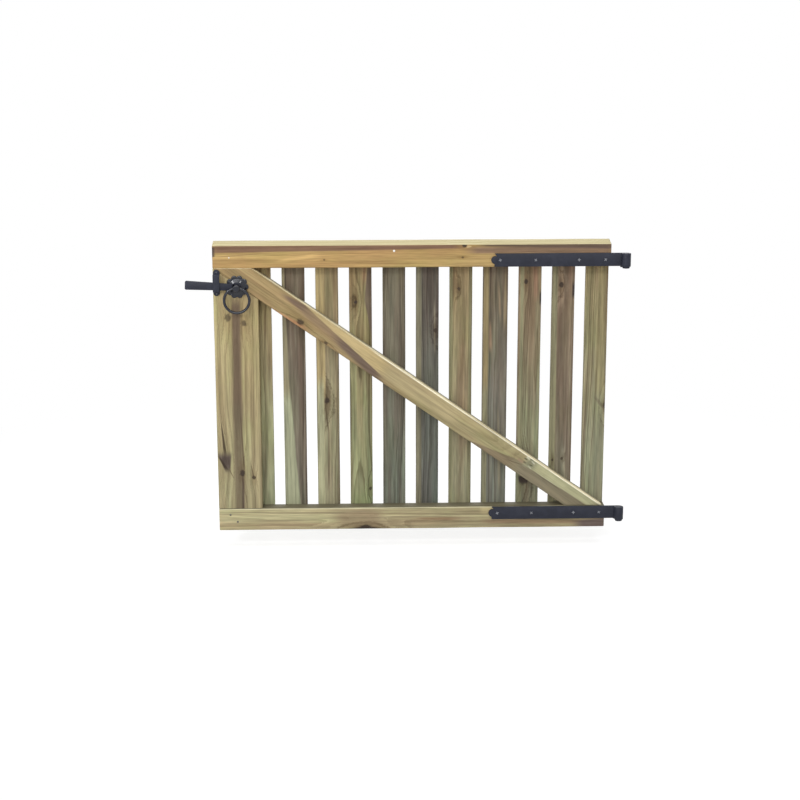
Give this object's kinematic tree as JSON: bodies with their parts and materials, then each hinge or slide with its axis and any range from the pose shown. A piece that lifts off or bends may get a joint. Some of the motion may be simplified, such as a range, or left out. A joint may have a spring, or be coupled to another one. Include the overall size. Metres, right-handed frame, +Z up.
{
  "type": "wooden garden gate",
  "caption": "Low wooden garden gate of upright palings on rails with a diagonal brace, hung by black strap hinges on pintles and closed by a ring latch.",
  "frame": {"origin": "on the face of the lower pintle's plate that bears on the gate post, level with the strap's middle", "axes": "+X to the right along the closed gate, towards the hinges; +Y away from the framed face, into the post; +Z up"},
  "size_m": [1.3403, 0.1158, 0.9],
  "materials": {
    "frame_timber": "sawn, impregnated softwood",
    "paling_timber": "planed, impregnated softwood",
    "black_iron": "satin black coating"
  },
  "bodies": {
    "hinge_pins": {"lower_pintle": "black_iron", "upper_pintle": "black_iron"},
    "leaf": {"top_rail": "frame_timber", "bottom_rail": "frame_timber", "lock_board": "frame_timber", "brace": "frame_timber", "paling_01": "paling_timber", "paling_02": "paling_timber", "paling_03": "paling_timber", "paling_04": "paling_timber", "paling_05": "paling_timber", "paling_06": "paling_timber", "paling_07": "paling_timber", "paling_08": "paling_timber", "paling_09": "paling_timber", "paling_10": "paling_timber", "paling_11": "paling_timber", "paling_12": "paling_timber", "lower_strap": "black_iron", "upper_strap": "black_iron", "latch_keeper": "black_iron", "latch_rosette": "black_iron"},
    "latch": {"latch_bar": "black_iron", "latch_spindle": "black_iron"},
    "ring": {"latch_ring": "black_iron"}
  },
  "joints": [
    {"name": "gate_swing", "type": "hinge", "parent": "hinge_pins", "child": "leaf", "pos_m": [0, -0.02405, 0], "axis": [0, 0, 1], "range_deg": [0, 170]},
    {"name": "latch_turn", "type": "hinge", "parent": "leaf", "child": "latch", "pos_m": [-1.171, -0.01, 0.717], "axis": [0, 1, 0], "range_deg": [0, 14]},
    {"name": "ring_swing", "type": "hinge", "parent": "latch", "child": "ring", "pos_m": [-1.171, -0.03455, 0.717], "axis": [-1, 0, 0], "range_deg": [0, 85]}
  ]
}
